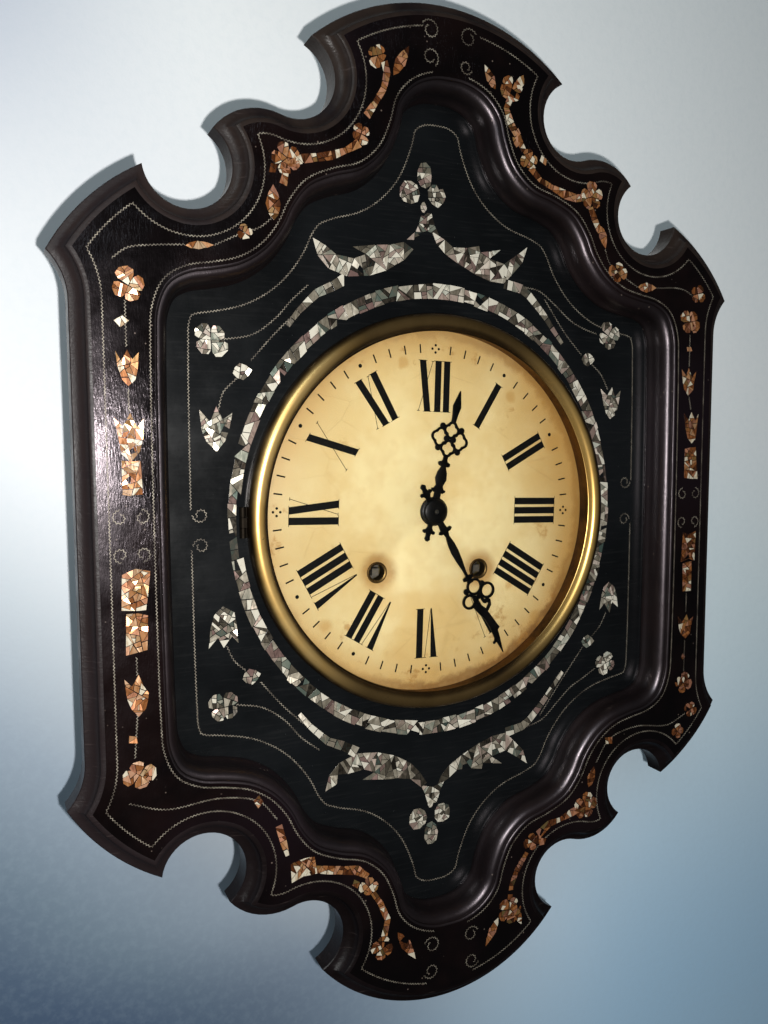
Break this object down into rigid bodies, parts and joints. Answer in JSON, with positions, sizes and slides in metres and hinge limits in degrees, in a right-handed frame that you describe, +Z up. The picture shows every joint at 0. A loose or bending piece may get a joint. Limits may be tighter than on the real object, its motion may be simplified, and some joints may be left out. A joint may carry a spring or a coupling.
{
  "type": "wall clock",
  "caption": "Pendulum wall clock with a shaped lacquered frame, a round hinged bezel and dial, and a striking movement in a box behind.",
  "frame": {"origin": "on the wall, behind the middle of the case: the middle of the back board's rear face", "axes": "+X to the right seen from the front, +Y into the wall, +Z up"},
  "size_m": [0.463, 0.128, 0.6292],
  "materials": {
    "lacquer": "black-brown lacquer, glossy and worn, with small inlays of shell",
    "panel_lacquer": "blue-black lacquer, glossy, with small inlays of shell",
    "plain_wood": "plain dark-stained boards",
    "brass": "aged, softly polished",
    "iron": "dull dark sheet iron",
    "steel": "smooth bright steel",
    "blued_steel": "black to dark blue, smooth",
    "alabaster": "honed, stained amber towards the edge, with painted numbers",
    "glass": "clear flat glass"
  },
  "bodies": {
    "case": {"front_frame": "lacquer", "dial_panel": "panel_lacquer", "box_left_side": "plain_wood", "box_right_side": "plain_wood", "box_top": "plain_wood", "box_bottom": "plain_wood", "back_board": "plain_wood", "hanging_plate": "iron", "movement_strap_top": "iron", "movement_strap_bottom": "iron", "hinge_case_leaf": "brass", "hinge_pin": "steel", "dial": "alabaster", "dial_backing": "iron", "dial_clip_1": "brass", "dial_clip_2": "brass", "winding_grommet_left": "brass", "winding_grommet_right": "brass", "front_plate": "brass", "back_plate": "brass", "pillar_1": "brass", "pillar_2": "brass", "pillar_3": "brass", "pillar_4": "brass", "gong": "blued_steel", "gong_block": "iron", "suspension_cock": "brass"},
    "bezel": {"bezel_ring": "brass", "bezel_glass": "glass", "glass_ring": "brass", "bezel_catch": "brass", "hinge_bezel_leaf": "brass"},
    "minutes": {"minute_hand": "blued_steel", "hand_collet": "blued_steel", "cannon_pinion": "steel", "centre_wheel": "brass"},
    "hours": {"hour_hand": "blued_steel", "hour_wheel": "brass"},
    "motion": {"minute_wheel": "brass"},
    "going_intermediate": {"intermediate_wheel": "brass"},
    "going_drum": {"going_barrel": "brass", "going_mainspring": "blued_steel"},
    "going_third": {"third_wheel": "brass"},
    "going_escape": {"escape_wheel": "brass"},
    "going_winding": {"going_winding_arbor": "steel"},
    "going_pawl": {"going_click": "steel"},
    "escapement": {"anchor": "steel"},
    "pendulum": {"suspension_spring": "steel", "pendulum_rod": "brass", "pendulum_bob": "brass"},
    "rating": {"rating_nut": "brass"},
    "strike_pins": {"pin_wheel": "brass"},
    "strike_second": {"strike_second_wheel": "brass"},
    "strike_drum": {"strike_barrel": "brass", "strike_mainspring": "blued_steel"},
    "strike_locking": {"locking_wheel": "brass"},
    "strike_fly": {"fly": "brass"},
    "strike_winding": {"strike_winding_arbor": "steel"},
    "strike_pawl": {"strike_click": "steel"},
    "striker": {"hammer": "steel"}
  },
  "joints": [
    {"name": "bezel_door", "type": "hinge", "parent": "case", "child": "bezel", "pos_m": [-0.1281, -0.1086, 0.0024], "axis": [0, 0, -1], "range_deg": [0, 115]},
    {"name": "minute_hand_turn", "type": "hinge", "parent": "case", "child": "minutes", "pos_m": [0.0002, -0.1, 0.0033], "axis": [0, 1, 0], "continuous": true},
    {"name": "hour_hand_turn", "type": "hinge", "parent": "case", "child": "hours", "pos_m": [0.0002, -0.1, 0.0033], "axis": [0, 1, 0], "continuous": true},
    {"name": "minute_wheel_turn", "type": "hinge", "parent": "case", "child": "motion", "pos_m": [-0.01209, -0.1, 0.01646], "axis": [0, 1, 0], "continuous": true},
    {"name": "intermediate_wheel_turn", "type": "hinge", "parent": "case", "child": "going_intermediate", "pos_m": [0.02906, -0.1, -0.00231], "axis": [0, 1, 0], "continuous": true},
    {"name": "going_barrel_turn", "type": "hinge", "parent": "case", "child": "going_drum", "pos_m": [0.03633, -0.1, -0.03726], "axis": [0, 1, 0], "continuous": true},
    {"name": "third_wheel_turn", "type": "hinge", "parent": "case", "child": "going_third", "pos_m": [-0.00893, -0.1, 0.02903], "axis": [0, 1, 0], "continuous": true},
    {"name": "escape_wheel_turn", "type": "hinge", "parent": "case", "child": "going_escape", "pos_m": [0.00167, -0.1, 0.04768], "axis": [0, 1, 0], "continuous": true},
    {"name": "going_winding_turn", "type": "hinge", "parent": "case", "child": "going_winding", "pos_m": [0.03633, -0.1, -0.03726], "axis": [0, 1, 0], "continuous": true},
    {"name": "going_click_lift", "type": "hinge", "parent": "case", "child": "going_pawl", "pos_m": [0.03688, -0.1, -0.02127], "axis": [0, -1, 0], "range_deg": [0, 12]},
    {"name": "pendulum_swing", "type": "hinge", "parent": "case", "child": "pendulum", "pos_m": [0.0023, -0.0222, 0.06606], "axis": [0, 1, 0], "range_deg": [-4, 4]},
    {"name": "anchor_rock", "type": "hinge", "parent": "case", "child": "escapement", "pos_m": [0.0023, -0.0222, 0.06606], "axis": [0, 1, 0], "range_deg": [-4, 4]},
    {"name": "rating_nut_turn", "type": "hinge", "parent": "pendulum", "child": "rating", "pos_m": [0.0023, -0.0222, -0.138], "axis": [0, 0, 1], "continuous": true},
    {"name": "pin_wheel_turn", "type": "hinge", "parent": "case", "child": "strike_pins", "pos_m": [-0.03337, -0.1, 0.02439], "axis": [0, 1, 0], "continuous": true},
    {"name": "strike_second_turn", "type": "hinge", "parent": "case", "child": "strike_second", "pos_m": [-0.04052, -0.1, 0.00096], "axis": [0, 1, 0], "continuous": true},
    {"name": "strike_barrel_turn", "type": "hinge", "parent": "case", "child": "strike_drum", "pos_m": [-0.03862, -0.1, -0.03469], "axis": [0, 1, 0], "continuous": true},
    {"name": "locking_wheel_turn", "type": "hinge", "parent": "case", "child": "strike_locking", "pos_m": [-0.03089, -0.1, 0.04471], "axis": [0, 1, 0], "continuous": true},
    {"name": "fly_turn", "type": "hinge", "parent": "case", "child": "strike_fly", "pos_m": [-0.02656, -0.1, 0.05892], "axis": [0, 1, 0], "continuous": true},
    {"name": "strike_winding_turn", "type": "hinge", "parent": "case", "child": "strike_winding", "pos_m": [-0.03862, -0.1, -0.03469], "axis": [0, 1, 0], "continuous": true},
    {"name": "strike_click_lift", "type": "hinge", "parent": "case", "child": "strike_pawl", "pos_m": [-0.03807, -0.1, -0.0187], "axis": [0, -1, 0], "range_deg": [0, 12]},
    {"name": "hammer_lift", "type": "hinge", "parent": "case", "child": "striker", "pos_m": [-0.05608, -0.0222, 0.02524], "axis": [0, 1, 0], "range_deg": [0, 12]}
  ],
  "couplings": [
    {"joint": "hour_hand_turn", "follows": "minute_hand_turn", "ratio": 0.083333},
    {"joint": "minute_wheel_turn", "follows": "minute_hand_turn", "ratio": -0.33333},
    {"joint": "intermediate_wheel_turn", "follows": "minute_hand_turn", "ratio": -0.16667},
    {"joint": "going_barrel_turn", "follows": "minute_hand_turn", "ratio": 0.027778},
    {"joint": "third_wheel_turn", "follows": "minute_hand_turn", "ratio": -12},
    {"joint": "escape_wheel_turn", "follows": "minute_hand_turn", "ratio": 120},
    {"joint": "anchor_rock", "follows": "pendulum_swing", "ratio": 1},
    {"joint": "strike_second_turn", "follows": "pin_wheel_turn", "ratio": -0.16667},
    {"joint": "strike_barrel_turn", "follows": "pin_wheel_turn", "ratio": 0.027778},
    {"joint": "locking_wheel_turn", "follows": "pin_wheel_turn", "ratio": -8},
    {"joint": "fly_turn", "follows": "pin_wheel_turn", "ratio": 64}
  ]
}
